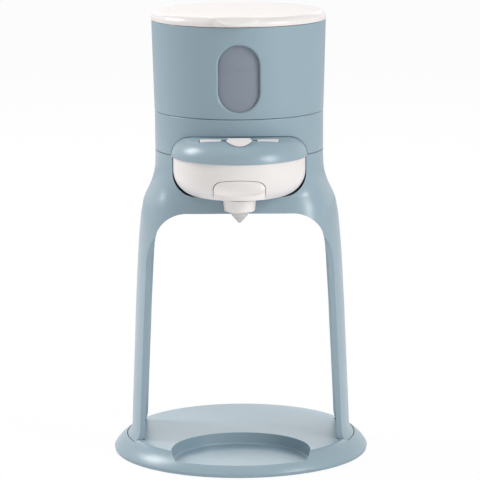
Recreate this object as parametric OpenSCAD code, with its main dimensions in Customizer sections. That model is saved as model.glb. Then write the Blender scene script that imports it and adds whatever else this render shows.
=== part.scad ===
// Baby formula maker: a hand-worked powder dispenser on a two-legged stand.
// Millimetres. +X is the right-hand side seen from the front, -Y is the front, +Z is up.
// The origin is the centre of the footprint, on the table.

/* [Base] */
// Radius of the round base at its widest line
base_r = 82.5; // [70:0.5:110]
// Radius of the flat top, where the sloping rim starts
base_flat_r = 72; // [60:0.5:100]
// Height of the flat top above the table
base_top_z = 12; // [10:0.5:25]
// Height of the widest line above the table
base_wide_z = 2.6; // [2:0.1:6]
// Radius of the curve of the sloping rim
base_rim_curve = 21; // [15:1:60]
// Wall of the base moulding
base_wall = 2; // [1.2:0.1:4]
// Radius of the round dish that the bottle stands in
dish_r = 44.6; // [35:0.1:60]
// Distance of the dish centre in front of the base centre
dish_y = 53.4; // [40:0.1:60]
// Height of the dish floor above the table
dish_floor_z = 4.5; // [4:0.1:10]
// Radius at which the low front lip of the dish starts
dish_lip_r = 78.7; // [70:0.1:80]

/* [Stand] */
// Wall of the legs and of the stand head
stand_wall = 3; // [2:0.1:5]
// Half depth of a leg, front side
leg_front = 28; // [15:0.5:40]
// Half depth of a leg, rear side
leg_rear = 28.5; // [15:0.5:40]
// Height of the underside of the head, which is the top of the arch
arch_z = 162.3; // [140:0.1:180]
// Half width of the arch
arch_half_w = 54.3; // [50:0.1:60]
// Radius of the upper corners of the arch
arch_corner = 21; // [10:1:40]
// Height of the joint between the stand and the head housing
neck_z = 198.4; // [190:0.1:210]
// Radius of the head at that joint
neck_r = 54; // [45:0.5:60]

/* [Hopper] */
// Height of the joint between the head housing and the hopper
hopper_z = 223.6; // [215:0.1:230]
// Height of the hopper's top edge
hopper_top_z = 281.4; // [260:0.1:300]
// Outer radius of the hopper at its top edge
hopper_top_r = 55.8; // [50:0.1:60]
// Outer radius of the hopper at its lower edge
hopper_low_r = 54.2; // [50:0.1:60]
// Outer radius of the powder tank
tank_r = 49.4; // [40:0.1:52]
// Wall of the powder tank
tank_wall = 1.8; // [1:0.1:3]
// Width of the sight window
window_w = 26.4; // [15:0.1:40]
// Height of the sight window
window_h = 42.8; // [25:0.1:55]
// Height of the window's middle
window_z = 249.2; // [240:0.1:260]

/* [Lid] */
// Height of the lid's highest point
lid_top_z = 288.3; // [284:0.1:300]
// Outer radius of the lid
lid_r = 56; // [50:0.1:60]
// Width of the finger tab
tab_w = 26.6; // [15:0.1:40]
// Distance of the tab's middle from the centre line
tab_x = -1.2; // [-20:0.1:20]

/* [Dosing unit] */
// Distance of the unit's centre in front of the hopper's axis
unit_y = 36; // [25:0.5:45]
// Outer radius of the cap
cap_r = 43.2; // [35:0.1:50]
// Radius of the cap's rounded edge
cap_edge_r = 14; // [8:0.5:20]
// Height of the cap's highest point
cap_top_z = 212.9; // [205:0.1:220]
// Height of the line between the bowl and the cap
bowl_top_z = 199; // [190:0.1:205]
// Height of the bowl's underside
bowl_low_z = 173.7; // [165:0.1:180]
// Outer radius of the bowl
bowl_r = 41.8; // [35:0.1:45]
// Radius of the bowl's lower corner
bowl_corner = 16; // [5:0.1:20]
// Radius of the lower corners of the opening that the bowl sits in
mouth_corner = 14.4; // [5:0.1:20]
// Distance of the powder inlet in front of the hopper's axis
inlet_y = 30; // [25:0.5:35]
// Distance of the spout in front of the hopper's axis
spout_y = 54; // [45:0.5:60]
// Radius of the measuring pocket in the drawer
pocket_r = 12.2; // [8:0.1:14]
// Height of the drawer block that holds the pocket
drawer_h = 16; // [10:0.5:18]
// Width of the pull
pull_w = 32.2; // [20:0.1:40]
// Height of the pull's top edge
pull_top_z = 188.5; // [185:0.1:192]
// Radius of the pull's upper corners
pull_corner = 5.4; // [2:0.1:10]
// Running gap between parts that slide
slide_gap = 0.4; // [0.3:0.05:0.8]

/* [Hidden] */
$fn = 96;
e = 0.02;
drawer_z = 177.0;
drawer_top = drawer_z + drawer_h;
floor_z = drawer_z - 0.6;
roller_r = 13.6;
fence_in = roller_r + 0.35;
fence_out = 16.6;
mouth_gap = 0.55;
cap_dome_r = 400;
// extra room under the bowl
mouth_drop = 0.75;
// radius of the nearly flat wall under the bowl
scoop_r = 300;
// rearmost point of that wall at the top of the arch
scoop_rear_y = -42.9;
// how far it leans back for each millimetre of height
scoop_slope = 0.34;
bowl_inner_corner = 14.4;
collar_low_z = 165.9;
screw_boss_r = 60;
post_r = 45;
post_angles = [30, 90, 150];
cover_screw_angles = [50, 130, 198, 342];
foot_angles = [45, 135, 225, 315];

// Outer half profile of the stand, from the foot up to the neck.
function stand_outline() = [
    [71.0, base_top_z], [69.8, 45], [68.45, 77], [67.1, 109], [66.2, 125],
    [65.1, 141], [64.1, 153], [63.3, 160], [62.3, 165], [60.7, 169],
    [58.8, 173], [57.0, 177], [55.6, 181], [54.7, 185],
    [neck_r + 0.15, 189.5], [neck_r, 194], [neck_r, neck_z - 0.2]];

module stand_solid(inset) {
    rotate_extrude()
        polygon(concat([[0, base_top_z]],
            [for (p = stand_outline()) [p[0] - inset, p[1]]],
            [[0, neck_z - 0.2]]));
}

// ---------------------------------------------------------------- base
// Half outline of the base, with the sloping rim as an arc through two points.
module base_outline() {
    mx = (base_flat_r + base_r) / 2;
    mz = (base_top_z + base_wide_z) / 2;
    cx = base_r - base_flat_r;
    cz = base_top_z - base_wide_z;
    half = sqrt(cx * cx + cz * cz) / 2;
    back = sqrt(base_rim_curve * base_rim_curve - half * half);
    ox = mx - back * cz / (2 * half);
    oz = mz - back * cx / (2 * half);
    a0 = atan2(base_wide_z - oz, base_r - ox);
    a1 = atan2(base_top_z - oz, base_flat_r - ox);
    steps = 9;
    polygon(concat([[0, 0.4], [base_r - 0.5, 0.4]],
        [for (i = [0 : steps])
            [ox + base_rim_curve * cos(a0 + (a1 - a0) * i / steps),
             oz + base_rim_curve * sin(a0 + (a1 - a0) * i / steps)]],
        [[0, base_top_z]]));
}

module base_dish(grow, floor_z, lip) {
    intersection() {
        translate([0, -dish_y, floor_z])
            cylinder(r1 = dish_r - 1.4 + grow, r2 = dish_r + grow,
                     h = base_top_z - floor_z + 0.1);
        cylinder(r = dish_lip_r + lip, h = 40);
    }
}

module leg_slot(gap) {
    for (side = [0, 180])
        rotate([0, 0, side])
            intersection() {
                difference() {
                    cylinder(r = 70.9 + gap, h = base_top_z + 1);
                    translate([0, 0, -1])
                        cylinder(r = 68.0 - gap, h = base_top_z + 3);
                }
                translate([50, -20 - gap, 3.2 - gap])
                    cube([40, 40 + 2 * gap, 20]);
            }
}

module base() {
    color("lightsteelblue")
    difference() {
        union() {
            difference() {
                rotate_extrude() base_outline();
                translate([0, 0, -1])
                    cylinder(r = 78.5, h = 5.2);
                translate([0, 0, 4.2 - e])
                    cylinder(r1 = 78.5, r2 = base_flat_r - 1.5,
                             h = base_top_z - base_wall - 4.2 + e);
            }
            intersection() {
                rotate_extrude() base_outline();
                translate([0, 0, dish_floor_z - 1.6])
                    base_dish_body();
            }
            for (a = cover_screw_angles)
                rotate([0, 0, a])
                    translate([screw_boss_r, 0, 2.8])
                        cylinder(r = 3.6, h = base_top_z - base_wall - 2.7);
        }
        base_dish(0, dish_floor_z, 0);
        leg_slot(0.15);
        for (a = cover_screw_angles)
            rotate([0, 0, a])
                translate([screw_boss_r, 0, 2])
                    cylinder(r = 1.3, h = 7);
    }
}

module base_dish_body() {
    translate([0, -dish_y, 0])
        cylinder(r = dish_r + 1.6, h = base_top_z);
}

module base_cover() {
    color("slategray")
    difference() {
        translate([0, 0, 1])
            cylinder(r = 78.2, h = 1.7);
        for (a = cover_screw_angles)
            rotate([0, 0, a]) {
                translate([screw_boss_r, 0, 0])
                    cylinder(r = 1.7, h = 5);
                translate([screw_boss_r, 0, 0.5])
                    cylinder(r = 3.0, h = 1.3);
            }
        for (a = foot_angles)
            rotate([0, 0, a])
                translate([70, 0, 0.5])
                    cylinder(r = 6.1, h = 1.1);
    }
}

module rubber_feet() {
    color("dimgray")
    for (a = foot_angles)
        rotate([0, 0, a])
            translate([70, 0, 0])
                cylinder(r = 6, h = 1.6);
}

module one_screw() {
    cylinder(r = 2.7, h = 1.0);
    cylinder(r = 1.25, h = 7);
}

module screws() {
    color("silver") {
        for (a = cover_screw_angles)
            rotate([0, 0, a])
                translate([screw_boss_r, 0, 0.75])
                    screw_with_recess();
        for (a = post_angles)
            rotate([0, 0, a])
                translate([post_r, 0, arch_z + 0.3])
                    screw_with_recess();
    }
}

module screw_with_recess() {
    difference() {
        one_screw();
        for (q = [0, 90])
            rotate([0, 0, q])
                translate([-1.5, -0.3, -0.1])
                    cube([3, 0.6, 0.6]);
    }
}

// ---------------------------------------------------------------- stand
module arch_tunnel() {
    rotate([90, 0, 0])
        translate([0, 0, -100])
            linear_extrude(height = 200) {
                translate([-arch_half_w, -1])
                    square([2 * arch_half_w, arch_z - arch_corner + 1]);
                translate([-(arch_half_w - arch_corner), -1])
                    square([2 * (arch_half_w - arch_corner), arch_z + 1]);
                for (s = [-1, 1])
                    translate([s * (arch_half_w - arch_corner), arch_z - arch_corner])
                        circle(r = arch_corner);
            }
}

// Space in front of or behind the legs, rounded where it meets the head.
module leg_trim(edge) {
    trim_r = 22;
    rotate([90, 0, 90])
        translate([0, 0, -100])
            linear_extrude(height = 200) {
                translate([edge, -1])
                    square([80, 130]);
                translate([edge + trim_r, 129])
                    circle(r = trim_r);
                translate([edge + trim_r, 0])
                    square([60, 151]);
            }
}

module bowl_mouth_2d(gap) {
    low_z = bowl_low_z - mouth_drop;
    flat = bowl_r - mouth_corner;
    for (s = [-1, 1])
        translate([s * flat, low_z + mouth_corner])
            circle(r = mouth_corner + gap);
    translate([-flat, low_z - gap])
        square([2 * flat, mouth_corner * 2]);
    translate([-bowl_r - gap, low_z + mouth_corner])
        square([2 * (bowl_r + gap), 40]);
}

module scoop(grow, low, high) {
    low_r = scoop_r + grow + (low - arch_z) * scoop_slope;
    high_r = scoop_r + grow + (high - arch_z) * scoop_slope;
    translate([0, scoop_rear_y - scoop_r, low])
        cylinder(r1 = low_r, r2 = high_r, h = high - low, $fn = 360);
}

module stand_frame() {
    color("lightsteelblue")
    difference() {
        union() {
            difference() {
                stand_solid(0);
                difference() {
                    stand_solid(stand_wall);
                    translate([-80, -80, arch_z])
                        cube([160, 160, 2.5]);
                }
                translate([-200, -200, neck_z - 0.3])
                    cube([400, 400, 5]);
            }
            intersection() {
                stand_solid(1);
                difference() {
                    scoop(2.5, arch_z, 172.6);
                    scoop(0, arch_z - 1, 180);
                }
            }
            leg_slot(0);
        }
        arch_tunnel();
        leg_trim(leg_rear);
        mirror([0, 1, 0]) leg_trim(leg_front);
        scoop(0, arch_z - 5, 176);
        rotate([90, 0, 0])
            translate([0, 0, 20])
                linear_extrude(height = 80) bowl_mouth_2d(mouth_gap);
        for (a = post_angles)
            rotate([0, 0, a])
                translate([post_r, 0, arch_z - 1]) {
                    cylinder(r = 1.6, h = 6);
                    cylinder(r = 3.0, h = 2.3);
                }
    }
    color("lightsteelblue")
    for (s = [-1, 1])
        translate([s * 21 - 1, -40, arch_z + 2.4])
            cube([2, 40, bowl_low_z - arch_z - 2.4 - 0.15]);
}

// ---------------------------------------------------------------- head
// Half outline of the cap: a low dome that runs smoothly into a rounded edge.
module cap_section(gap) {
    edge_x = cap_r - cap_edge_r;
    edge_z = cap_top_z - cap_dome_r
        + sqrt(pow(cap_dome_r - cap_edge_r, 2) - pow(edge_x, 2));
    meet_x = edge_x * (cap_dome_r + gap) / (cap_dome_r - cap_edge_r);
    intersection() {
        union() {
            intersection() {
                translate([0, cap_top_z - cap_dome_r])
                    circle(r = cap_dome_r + gap, $fn = 360);
                translate([0, 190])
                    square([meet_x, 40]);
            }
            translate([edge_x, edge_z])
                circle(r = cap_edge_r + gap);
            translate([0, 190])
                square([cap_r + gap, edge_z - 190]);
        }
        translate([0, bowl_top_z - 4])
            square([60, 60]);
    }
}

module head_housing() {
    color("lightsteelblue")
    difference() {
        union() {
            difference() {
                translate([0, 0, neck_z + 0.2])
                    cylinder(r1 = neck_r, r2 = hopper_low_r - 0.1,
                             h = hopper_z - neck_z - 0.4);
                translate([0, 0, neck_z - 1])
                    cylinder(r = neck_r - 2.8, h = 19.8);
                translate([0, 0, 220])
                    cylinder(r = neck_r - 2.8, h = 10);
            }
            difference() {
                translate([0, 0, 190])
                    cylinder(r = neck_r - stand_wall - 0.1, h = 10);
                translate([0, 0, 189])
                    cylinder(r = neck_r - stand_wall - 2, h = 12);
            }
            difference() {
                translate([0, 0, neck_z + 0.3])
                    cylinder(r = neck_r - 2, h = 2.2);
                translate([0, 0, neck_z])
                    cylinder(r = neck_r - stand_wall - 2, h = 4);
            }
            translate([0, 0, 212])
                cylinder(r = 6.5, h = 9.5);
            for (a = post_angles)
                rotate([0, 0, a])
                    translate([post_r, 0, arch_z + 2.6])
                        cylinder(r = 3.6, h = 218.5 - arch_z - 2.6);
        }
        translate([0, 0, 211])
            cylinder(r = 3.05, h = 12);
        translate([0, -inlet_y, 214])
            cylinder(r = 12.4, h = 10);
        for (a = post_angles)
            rotate([0, 0, a])
                translate([post_r, 0, arch_z + 1])
                    cylinder(r = 1.3, h = 9);
        rotate([90, 0, 0])
            translate([0, 0, 8])
                linear_extrude(height = 80) {
                    cap_section(0.4);
                    mirror([1, 0]) cap_section(0.4);
                    translate([-bowl_r - mouth_gap, 180])
                        square([2 * (bowl_r + mouth_gap), 17]);
                }
    }
}

module drive_shaft() {
    color("silver") {
        translate([0, 0, 193.8])
            cylinder(r = 2.2, h = 5.2);
        translate([0, 0, 199])
            cylinder(r = 3, h = 24.2);
        translate([0, 0, 223])
            cylinder(r = 3.0, h = 7, $fn = 6);
    }
}

module drive_roller() {
    color("dimgray")
    difference() {
        translate([0, 0, 194.2])
            cylinder(r = roller_r, h = 4.2);
        translate([0, 0, 193])
            cylinder(r = 2.25, h = 7);
        translate([0, 0, 197.4])
            difference() {
                cylinder(r = 11, h = 3);
                translate([0, 0, -1]) cylinder(r = 4.5, h = 5);
            }
    }
}

module shaft_clip() {
    color("dimgray")
    translate([0, 0, 210.9])
        difference() {
            cylinder(r = 5, h = 0.9);
            translate([0, 0, -1]) cylinder(r = 3.03, h = 3);
            translate([-1.2, 0, -1]) cube([2.4, 8, 3]);
        }
}

// ---------------------------------------------------------------- hopper
module stadium(w, h) {
    for (s = [-1, 1])
        translate([0, s * (h - w) / 2]) circle(r = w / 2);
    square([w, h - w], center = true);
}

module window_prism(grow, near, far) {
    translate([0, -near, window_z])
        rotate([90, 0, 0])
            linear_extrude(height = far - near)
                stadium(window_w + 2 * grow, window_h + 2 * grow);
}

module hopper_sleeve() {
    color("lightsteelblue")
    difference() {
        union() {
            difference() {
                translate([0, 0, hopper_z + 0.2])
                    cylinder(r1 = hopper_low_r, r2 = hopper_top_r,
                             h = hopper_top_z - hopper_z - 0.2);
                translate([0, 0, hopper_z - 1])
                    cylinder(r = 52.1, h = 54.1);
                translate([0, 0, 276.6])
                    cylinder(r = 53.4, h = 8);
            }
            for (z = [hopper_z + 0.3, 274.4])
                translate([0, 0, z])
                    difference() {
                        cylinder(r = 52.6, h = 1.5);
                        translate([0, 0, -1])
                            cylinder(r = tank_r + 0.15, h = 4);
                    }
        }
        window_prism(0, 30, 80);
    }
}

module window_pane() {
    color("gray")
    intersection() {
        difference() {
            translate([0, 0, 220])
                cylinder(r = 52.0, h = 60);
            translate([0, 0, 219])
                cylinder(r = 50.4, h = 62);
        }
        window_prism(2, 30, 80);
    }
}

module powder_tank() {
    color("gainsboro")
    difference() {
        union() {
            translate([0, 0, 224.2])
                cylinder(r = tank_r, h = 54.6);
            translate([0, 0, 276.8])
                cylinder(r = 53.0, h = 2);
            translate([0, -inlet_y, 216.2])
                cylinder(r = 11.8, h = 9);
        }
        translate([0, 0, 226])
            cylinder(r = tank_r - tank_wall, h = 60);
        translate([0, 0, 223])
            cylinder(r = 8.1, h = 8);
        translate([0, -inlet_y, 215])
            cylinder(r = 10.2, h = 12);
    }
}

module tank_bush() {
    color("dimgray")
    difference() {
        union() {
            translate([0, 0, 223.8])
                cylinder(r = 8.0, h = 2.2);
            translate([0, 0, 226])
                cylinder(r = 9.6, h = 0.8);
        }
        translate([0, 0, 223])
            cylinder(r = 5.45, h = 5);
    }
}

module agitator() {
    color("white")
    difference() {
        union() {
            translate([0, 0, 223.9])
                cylinder(r = 5.4, h = 3.4);
            translate([0, 0, 227.2])
                cylinder(r = 7.5, h = 8);
            translate([0, 0, 235])
                cylinder(r1 = 5, r2 = 3, h = 3);
            translate([0, 0, 237])
                cylinder(r = 3, h = 27);
            translate([0, 0, 264])
                sphere(r = 3);
            for (a = [0, 180])
                rotate([0, 0, a]) {
                    translate([5, -2, 227.4])
                        cube([39, 4, 2.6]);
                    translate([41.4, -2, 227.4])
                        cube([2.6, 4, 30]);
                }
            for (a = [70, 250])
                rotate([0, 0, a])
                    translate([1, 0, 250])
                        rotate([0, 90, 0])
                            cylinder(r = 1.8, h = 34);
        }
        translate([0, 0, 223])
            cylinder(r = 3.15, h = 8, $fn = 6);
    }
}

// ---------------------------------------------------------------- lid
module lid_outline() {
    corner = 4.6;
    polygon(concat([[0, 281.7], [lid_r, 281.7], [lid_r, 282.6]],
        [for (a = [0 : 15 : 75])
            [lid_r - corner + corner * cos(a), 282.8 + corner * sin(a)]],
        [[48, lid_top_z - 0.62], [36, lid_top_z - 0.28],
         [20, lid_top_z - 0.06], [0, lid_top_z]]));
}

module lid_tab() {
    intersection() {
        difference() {
            translate([tab_x, -43, 282.6])
                cylinder(r = 18.6, h = 4.9);
            cylinder(r = 50, h = 400);
        }
        translate([tab_x - tab_w / 2, -64, 270])
            cube([tab_w, 30, 40]);
    }
}

// Shallow hollow in the tab's front, curved less across than front to back.
module tab_hollow() {
    across_r = 35;
    along_r = 12;
    translate([tab_x, -60, 283.4 + across_r])
        rotate([90, 0, 0])
            rotate_extrude()
                translate([across_r - along_r, 0])
                    circle(r = along_r);
}

module lid() {
    color("white")
    difference() {
        union() {
            difference() {
                rotate_extrude() lid_outline();
                translate([0, 0, 281])
                    cylinder(r = lid_r - 2.4, h = 3);
                translate([0, 0, 283.9])
                    cylinder(r = lid_r - 6, h = 2.2);
            }
            difference() {
                translate([0, 0, 273.6])
                    cylinder(r = 46.8, h = 12.9);
                translate([0, 0, 273])
                    cylinder(r = 45, h = 13.1);
                translate([0, 0, 277])
                    difference() {
                        cylinder(r = 48, h = 2.4);
                        cylinder(r = 46, h = 2.4);
                    }
            }
            lid_tab();
        }
        tab_hollow();
    }
}

module lid_seal() {
    color("lightgray")
    difference() {
        translate([0, 0, 277.1])
            cylinder(r = 47.25, h = 2.2);
        translate([0, 0, 277])
            cylinder(r = 46.05, h = 4);
    }
}

// ---------------------------------------------------------------- dosing unit
module bowl_shape(inset, top, corner) {
    flat = bowl_r - corner;
    rotate_extrude()
        intersection() {
            union() {
                translate([flat, bowl_low_z + corner])
                    circle(r = corner - inset);
                translate([0, bowl_low_z + inset])
                    square([flat, 40]);
                translate([0, bowl_low_z + corner])
                    square([bowl_r - inset, 40]);
            }
            translate([0, bowl_low_z - 1])
                square([60, top - bowl_low_z + 1]);
        }
}

module dosing_bowl() {
    color("white")
    difference() {
        union() {
            difference() {
                translate([0, -unit_y, 0])
                    bowl_shape(0, bowl_top_z - 0.3, bowl_corner);
                translate([0, -unit_y, 0])
                    bowl_shape(2, bowl_top_z + 3, bowl_inner_corner);
            }
            // side walls that guide the drawer, and ledges for the wiper plate
            intersection() {
                translate([0, -unit_y, 0])
                    bowl_shape(1, 193.1, bowl_corner);
                for (s = [-1, 1])
                    translate([s * 19.2 - 2, -74, 175])
                        cube([4, 78, 18]);
            }
            // thicker floor under the drawer
            translate([0, -unit_y, bowl_low_z + 1])
                cylinder(r = bowl_r - bowl_inner_corner - 0.5, h = floor_z - bowl_low_z - 1);
            translate([0, -spout_y, bowl_low_z - 2])
                cylinder(r = 8.6, h = 3);
        }
        // way out for the drawer at the front, and for its rail at the rear
        difference() {
            rotate([90, 0, 0])
                translate([0, 0, 60])
                    linear_extrude(height = 30) pull_front(0.35);
            translate([-40, -100, 150])
                cube([80, 100, drawer_z - slide_gap - 150]);
        }
        translate([-17.2, -12, drawer_z - slide_gap])
            cube([34.4, 30, 40]);
        translate([0, -spout_y, bowl_low_z - 3])
            cylinder(r = 7.2, h = 8);
        translate([0, -spout_y, bowl_low_z - 0.2])
            cylinder(r1 = 7.2, r2 = 12.2, h = floor_z - bowl_low_z + 0.4);
    }
}

module spout_collar() {
    edge = 1.4;
    color("white")
    translate([0, -spout_y, 0])
        difference() {
            union() {
                translate([0, 0, collar_low_z + edge])
                    cylinder(r1 = 9.7, r2 = 10.4, h = bowl_low_z - collar_low_z - edge - 0.1);
                rotate_extrude() {
                    translate([9.7 - edge, collar_low_z + edge])
                        circle(r = edge);
                    translate([0, collar_low_z])
                        square([9.7 - edge, 2 * edge]);
                }
            }
            translate([0, 0, bowl_low_z - 3])
                cylinder(r = 8.7, h = 4);
            translate([0, 0, collar_low_z - 1])
                cylinder(r = 6.1, h = 12);
        }
}

module spout_tip() {
    tip_foot_z = collar_low_z - 2.7;
    color("darkgray")
    translate([0, -spout_y, 0])
        difference() {
            union() {
                translate([0, 0, tip_foot_z])
                    cylinder(r1 = 5.0, r2 = 5.8, h = collar_low_z - tip_foot_z);
                translate([0, 0, collar_low_z - e])
                    cylinder(r = 5.8, h = bowl_low_z - collar_low_z - 2.2 + e);
                translate([0, 0, bowl_low_z - 2.9])
                    cylinder(r = 8.4, h = 0.7);
                translate([0, 0, tip_foot_z - 4.8])
                    cylinder(r1 = 0.6, r2 = 4.9, h = 4.8 + e);
            }
            translate([0, 0, tip_foot_z + 1.2])
                cylinder(r = 4.9, h = 9);
            translate([0, 0, tip_foot_z - 3.6])
                cylinder(r1 = 0.3, r2 = 4.0, h = 4.8 + e);
            translate([-3, -0.15, tip_foot_z - 5])
                cube([6, 0.3, 3.0]);
        }
}

module slot_cut(x0, x1) {
    intersection() {
        difference() {
            cylinder(r = 65.9, h = 260);
            translate([0, 0, -1]) cylinder(r = 61.6, h = 262);
        }
        translate([x0, -80, 190])
            cube([x1 - x0, 40, 60]);
    }
}

module bowl_cap() {
    color("lightsteelblue")
    difference() {
        union() {
            difference() {
                translate([0, -unit_y, 0])
                    rotate_extrude()
                        intersection() {
                            cap_section(0);
                            translate([0, bowl_top_z])
                                square([60, 60]);
                        }
                translate([0, -unit_y, -2])
                    rotate_extrude()
                        intersection() {
                            cap_section(-2);
                            translate([0, bowl_top_z - 3])
                                square([60, 60]);
                        }
            }
            translate([0, -unit_y, 195.8])
                difference() {
                    cylinder(r = 39.5, h = 5.2);
                    translate([0, 0, -1]) cylinder(r = 37.9, h = 8);
                }
            translate([0, -unit_y, bowl_top_z])
                difference() {
                    cylinder(r = 42, h = 1.6);
                    translate([0, 0, -1]) cylinder(r = 37.9, h = 4);
                }
            translate([0, -inlet_y, 201.2])
                cylinder(r = 13.4, h = 10.6);
        }
        translate([0, -inlet_y, 190])
            cylinder(r = 11.8, h = 40);
        translate([0, -inlet_y, 211.6])
            cylinder(r1 = 11.8, r2 = 14.8, h = 3.4);
        slot_cut(-25, 25);
        translate([-5.6, -8, 190])
            cube([11.2, 30, 40]);
        translate([-17.2, -12, 190])
            cube([34.4, 30, 9.1]);
    }
}

module slot_strips() {
    color("white")
    for (s = [-1, 1])
        difference() {
            intersection() {
                slot_cut(s < 0 ? -24.6 : 11.4, s < 0 ? -11.4 : 24.6);
                translate([0, -unit_y, 0])
                    rotate_extrude()
                        cap_section(0.3);
                translate([-50, -90, 206.5])
                    cube([100, 90, 20]);
            }
        }
}

module size_selector() {
    color("white")
    difference() {
        union() {
            difference() {
                union() {
                    // half-round plate on the front edge of the cap
                    intersection() {
                        translate([0, -65.2, 203])
                            cylinder(r = 8.2, h = 20);
                        translate([-9, -76, 203])
                            cube([18, 9.1, 20]);
                        translate([0, -unit_y, 1.3])
                            rotate_extrude() cap_section(0);
                    }
                    // bridge from the plate to the grip, under a groove
                    intersection() {
                        translate([-7, -67.1, 203])
                            cube([14, 4.9, 20]);
                        translate([0, -unit_y, 0.9])
                            rotate_extrude() cap_section(0);
                    }
                    // upright grip
                    translate([-7, -64.3, 208])
                        cube([14, 2.7, 5.2]);
                }
                // its underside stays clear of the cap as it slides
                for (x = [-4, 0, 4])
                    translate([x, -unit_y, 0.45])
                        rotate_extrude() cap_section(0);
            }
            // leg through the slot and down to the blade
            translate([-7, -64.3, 199.6])
                cube([14, 1.9, 12.9]);
            // blade under the powder inlet
            translate([-14, -64.3, 199.6])
                cube([28, 48, 1.2]);
        }
        translate([-4, -inlet_y, 190])
            cylinder(r = 11.8, h = 18);
    }
}

// Collar that carries powder down to the pocket and levels it.
module wiper_plate() {
    color("lightgray")
    difference() {
        union() {
            translate([-19.6, -45, drawer_top + 0.35])
                cube([39.2, 30, 1.2]);
            translate([0, -inlet_y, drawer_top + 0.35])
                cylinder(r = 13.4, h = 5.9);
        }
        translate([0, -inlet_y, 190])
            cylinder(r = pocket_r - 0.4, h = 12);
        translate([roller_r - 0.05, -27, 190])
            cube([8, 14, 12]);
    }
}

module inlet_seal() {
    color("lightgray")
    translate([0, -inlet_y, cap_top_z + 0.35])
        difference() {
            cylinder(r = 15, h = 217.1 - cap_top_z - 0.35);
            translate([0, 0, -1]) cylinder(r = 12.4, h = 8);
        }
}

module measuring_drawer() {
    color("white")
    difference() {
        union() {
            // block with the measuring pocket, and its closing tail; the
            // front is rounded to clear the bowl when it is pulled out
            intersection() {
                translate([-fence_out, -44.4, drawer_z])
                    cube([2 * fence_out, 51, drawer_h]);
                union() {
                    translate([0, 24 - unit_y, 0])
                        bowl_shape(2.5, drawer_top + 1, bowl_inner_corner);
                    translate([-20, -14, drawer_z - 1])
                        cube([40, 40, drawer_h + 2]);
                }
            }
            // neck from the block to the pull
            translate([-12.5, -78, drawer_z + 1.6])
                cube([25, 36, 8.4]);
            // pull
            pull_shape();
            // rail that turns the stirring roller
            translate([fence_in, -1, drawer_top - 2])
                cube([fence_out - fence_in, 31, 7]);
            translate([10, 6, drawer_top - 5])
                cube([fence_out - 10, 24, 5]);
        }
        translate([0, -inlet_y, drawer_z - 1])
            cylinder(r = pocket_r, h = drawer_h + 2);
    }
}

// Front outline of the pull: straight sides and a low arched top.
module pull_front(gap) {
    half = pull_w / 2 + gap;
    top = pull_top_z + gap;
    r = pull_corner;
    arch_r = 75 + gap;
    // the corners run smoothly into the arched top
    corner_z = top - arch_r + sqrt(pow(arch_r - r, 2) - pow(half - r, 2));
    meet_x = (half - r) * arch_r / (arch_r - r);
    intersection() {
        union() {
            translate([-half, 165])
                square([2 * half, corner_z - 165]);
            translate([-meet_x, 165])
                square([2 * meet_x, top - 165]);
            for (s = [-1, 1])
                translate([s * (half - r), corner_z])
                    circle(r = r);
        }
        translate([0, top - arch_r])
            circle(r = arch_r, $fn = 360);
    }
}

module pull_shape() {
    intersection() {
        difference() {
            rotate([90, 0, 0])
                translate([0, 0, 72])
                    linear_extrude(height = 12) pull_front(0);
            // hollow for the finger, which sweeps out into a lip below
            translate([0, -unit_y, 186.8])
                rotate_extrude()
                    translate([49.4, 0]) circle(r = 7.9);
            translate([-40, -100, 150])
                cube([80, 100, drawer_z - 150]);
        }
        translate([0, -57, 170])
            cylinder(r = 25.4, h = 30);
    }
}

base();
base_cover();
rubber_feet();
screws();
stand_frame();
head_housing();
hopper_sleeve();
window_pane();
powder_tank();
tank_bush();
agitator();
drive_shaft();
drive_roller();
shaft_clip();
lid();
lid_seal();
dosing_bowl();
bowl_cap();
slot_strips();
size_selector();
wiper_plate();
measuring_drawer();
spout_collar();
spout_tip();
inlet_seal();
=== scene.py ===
"""Visual model of the baby formula maker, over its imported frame. Metres, +Z up."""
import math

import bpy
from mathutils import Matrix, Vector


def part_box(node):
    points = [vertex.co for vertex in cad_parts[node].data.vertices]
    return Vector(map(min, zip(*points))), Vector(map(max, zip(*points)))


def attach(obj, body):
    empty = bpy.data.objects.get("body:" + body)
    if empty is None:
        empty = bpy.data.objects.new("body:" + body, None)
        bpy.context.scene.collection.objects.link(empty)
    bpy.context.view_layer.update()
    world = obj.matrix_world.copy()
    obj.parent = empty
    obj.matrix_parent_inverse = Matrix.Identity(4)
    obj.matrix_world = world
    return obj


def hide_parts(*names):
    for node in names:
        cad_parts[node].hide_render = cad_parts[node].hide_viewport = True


bl_info = {
    "name": "Formula powder dispenser",
    "version": (1, 0, 0),
    "blender": (4, 5, 0),
    "location": "View3D > Sidebar > Dispenser",
    "description": "Builds the hand-worked formula powder dispenser piece by piece",
    "category": "Object",
}

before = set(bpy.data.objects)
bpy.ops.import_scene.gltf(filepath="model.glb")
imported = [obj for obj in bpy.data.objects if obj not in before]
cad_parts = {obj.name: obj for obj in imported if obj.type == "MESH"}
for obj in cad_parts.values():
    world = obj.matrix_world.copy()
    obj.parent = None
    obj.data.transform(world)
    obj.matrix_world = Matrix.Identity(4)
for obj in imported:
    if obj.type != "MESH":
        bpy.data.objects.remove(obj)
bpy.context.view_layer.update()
MM = 0.001
TURN = 2 * math.pi

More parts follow.
